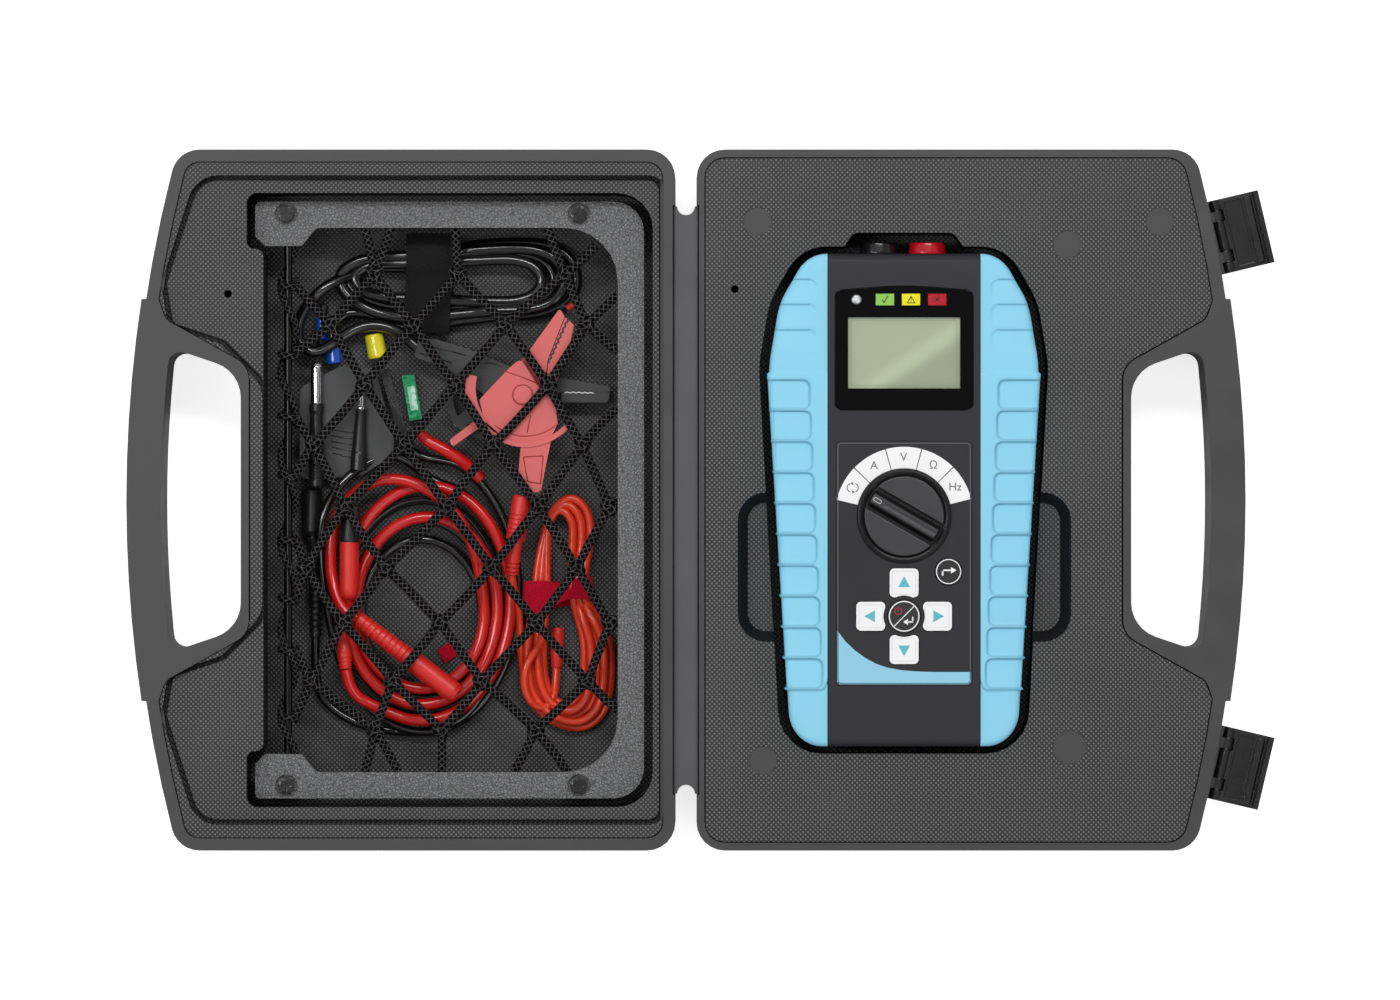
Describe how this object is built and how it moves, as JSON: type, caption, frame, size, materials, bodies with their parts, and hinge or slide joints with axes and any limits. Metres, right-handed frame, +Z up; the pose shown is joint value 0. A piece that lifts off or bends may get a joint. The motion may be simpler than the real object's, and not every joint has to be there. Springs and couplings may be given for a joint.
{
  "type": "electrical tester kit",
  "caption": "Open plastic carry case with a hand-held electrical tester in its base and test leads, clips and adaptors behind an elastic net in its lid.",
  "frame": {"origin": "bottom centre of the open case's bounding box, latches included", "axes": "+X from the lid to the tester, +Y to the tester's socket end, +Z up"},
  "size_m": [0.4458, 0.272, 0.0598],
  "materials": {
    "case_shell": "smooth charcoal polypropylene, satin",
    "case_tray": "charcoal plastic with a fine diamond knurl",
    "hinge_plastic": "smooth charcoal polypropylene",
    "latch_plastic": "black moulded plastic, satin",
    "pin_steel": "plain steel",
    "frame_plastic": "dark grey plastic with a leather grain",
    "rod_steel": "blackened steel rod",
    "screw_zinc": "zinc plated",
    "net_elastic": "black braided elastic cord",
    "housing_plastic": "black ABS, fine matt grain",
    "boot_rubber": "pale blue moulded rubber, satin",
    "battery_wrap": "printed film over steel",
    "contact_metal": "nickel plated spring steel",
    "board_green": "green solder mask",
    "lcd": "grey-green liquid crystal display",
    "window_gloss": "polished black window",
    "overlay_film": "printed polycarbonate film",
    "knob_plastic": "black moulded plastic, satin",
    "switch_plastic": "moulded plastic",
    "silicone": "silicone rubber",
    "key_white": "white silicone key, smooth",
    "key_black": "black silicone key with a white ring",
    "socket_black": "black plastic",
    "socket_red": "red plastic",
    "brass": "turned brass",
    "led_clear": "water-clear epoxy",
    "lens_green": "green window",
    "lens_yellow": "yellow window",
    "lens_red": "red window",
    "clip_red": "red insulated plastic, satin",
    "clip_black": "dark grey insulated plastic",
    "lead_black": "black PVC cable",
    "lead_red": "red PVC cable",
    "lead_orange": "orange-red silicone cable",
    "strap_black": "black hook-and-loop tape",
    "strap_red": "red hook-and-loop tape",
    "plug_red": "red moulded plug",
    "plug_black": "black moulded plug",
    "probe_black": "black moulded grip",
    "probe_metal": "bright nickel plate",
    "adaptor_grey": "dark grey plastic",
    "sleeve_blue": "blue vinyl sleeve",
    "sleeve_yellow": "yellow vinyl sleeve",
    "fuse_green": "green translucent plastic"
  },
  "bodies": {
    "case_base": {"base_shell": "case_shell", "base_tray": "case_tray", "latch_pins": "pin_steel"},
    "spine": {"hinge_strip": "hinge_plastic"},
    "lid": {"lid_shell": "case_shell", "lid_tray": "case_tray", "net_frame": "frame_plastic", "net_rod": "rod_steel", "frame_screws": "screw_zinc", "elastic_net": "net_elastic", "coil_black": "lead_black", "coil_red": "lead_red", "hank_black": "lead_black", "hank_red": "lead_orange", "strap_black": "strap_black", "strap_red": "strap_red", "plugs_red": "plug_red", "plugs_black": "plug_black", "probe_bodies": "probe_black", "probe_tips": "probe_metal", "adaptor_block": "adaptor_grey", "sleeves_blue": "sleeve_blue", "sleeve_yellow": "sleeve_yellow", "fuse_green": "fuse_green", "fuse_holder": "probe_black", "clip_red_arm": "clip_red", "clip_black_arm": "clip_black", "clip_rivets": "pin_steel"},
    "upper_latch": {"latch_top": "latch_plastic"},
    "lower_latch": {"latch_bottom": "latch_plastic"},
    "red_clip_jaw": {"clip_red_jaw": "clip_red"},
    "black_clip_jaw": {"clip_black_jaw": "clip_black"},
    "tester": {"housing_front": "housing_plastic", "housing_rear": "housing_plastic", "boot_left": "boot_rubber", "boot_right": "boot_rubber", "battery_door": "housing_plastic", "batteries": "battery_wrap", "battery_contacts": "contact_metal", "circuit_board": "board_green", "lcd_module": "lcd", "display_window": "window_gloss", "overlay_panel": "overlay_film", "rotary_switch": "switch_plastic", "keypad_mat": "silicone", "socket_black": "socket_black", "socket_red": "socket_red", "socket_contacts": "brass", "torch_led": "led_clear", "indicator_green": "lens_green", "indicator_yellow": "lens_yellow", "indicator_red": "lens_red", "housing_screws": "screw_zinc"},
    "knob": {"selector_knob": "knob_plastic"},
    "key_up": {"key_up": "key_white"},
    "key_down": {"key_down": "key_white"},
    "key_left": {"key_left": "key_white"},
    "key_right": {"key_right": "key_white"},
    "key_enter": {"key_enter": "key_black"},
    "key_shift": {"key_shift": "key_black"}
  },
  "joints": [
    {"name": "spine_fold", "type": "hinge", "parent": "case_base", "child": "spine", "pos_m": [-0.00175, 0, 0.04205], "axis": [0, -1, 0], "range_deg": [-90, 0]},
    {"name": "lid_fold", "type": "hinge", "parent": "spine", "child": "lid", "pos_m": [-0.00995, 0, 0.04205], "axis": [0, -1, 0], "range_deg": [-90, 0]},
    {"name": "upper_latch_hinge", "type": "hinge", "parent": "case_base", "child": "upper_latch", "pos_m": [0.20265, 0.10245, 0.038], "axis": [-0.23, 0.9732, 0], "range_deg": [-90, 0]},
    {"name": "lower_latch_hinge", "type": "hinge", "parent": "case_base", "child": "lower_latch", "pos_m": [0.20265, -0.10245, 0.038], "axis": [0.23, 0.9732, 0], "range_deg": [-90, 0]},
    {"name": "tester_lift", "type": "slide", "parent": "case_base", "child": "tester", "axis": [0, 0, 1], "range_m": [0, 0.06]},
    {"name": "knob_turn", "type": "hinge", "parent": "tester", "child": "knob", "pos_m": [0.0786, -0.0062, 0.055], "axis": [0, 0, 1], "range_deg": [-120, 0]},
    {"name": "red_clip_pivot", "type": "hinge", "parent": "lid", "child": "red_clip_jaw", "pos_m": [-0.0696, 0.041, 0.019], "axis": [0, 0, 1], "range_deg": [0, 15], "stiffness_Nm_per_rad": 0.05},
    {"name": "black_clip_pivot", "type": "hinge", "parent": "lid", "child": "black_clip_jaw", "pos_m": [-0.072, 0.0415, 0.012], "axis": [0, 0, 1], "range_deg": [0, 14], "stiffness_Nm_per_rad": 0.05},
    {"name": "key_up_press", "type": "slide", "parent": "tester", "child": "key_up", "axis": [0, 0, 1], "range_m": [-0.0008, 0], "stiffness_N_per_m": 100},
    {"name": "key_down_press", "type": "slide", "parent": "tester", "child": "key_down", "axis": [0, 0, 1], "range_m": [-0.0008, 0], "stiffness_N_per_m": 100},
    {"name": "key_left_press", "type": "slide", "parent": "tester", "child": "key_left", "axis": [0, 0, 1], "range_m": [-0.0008, 0], "stiffness_N_per_m": 100},
    {"name": "key_right_press", "type": "slide", "parent": "tester", "child": "key_right", "axis": [0, 0, 1], "range_m": [-0.0008, 0], "stiffness_N_per_m": 100},
    {"name": "key_enter_press", "type": "slide", "parent": "tester", "child": "key_enter", "axis": [0, 0, 1], "range_m": [-0.0008, 0], "stiffness_N_per_m": 100},
    {"name": "key_shift_press", "type": "slide", "parent": "tester", "child": "key_shift", "axis": [0, 0, 1], "range_m": [-0.0008, 0], "stiffness_N_per_m": 100}
  ],
  "couplings": [
    {"joint": "lid_fold", "follows": "spine_fold", "ratio": 1}
  ]
}
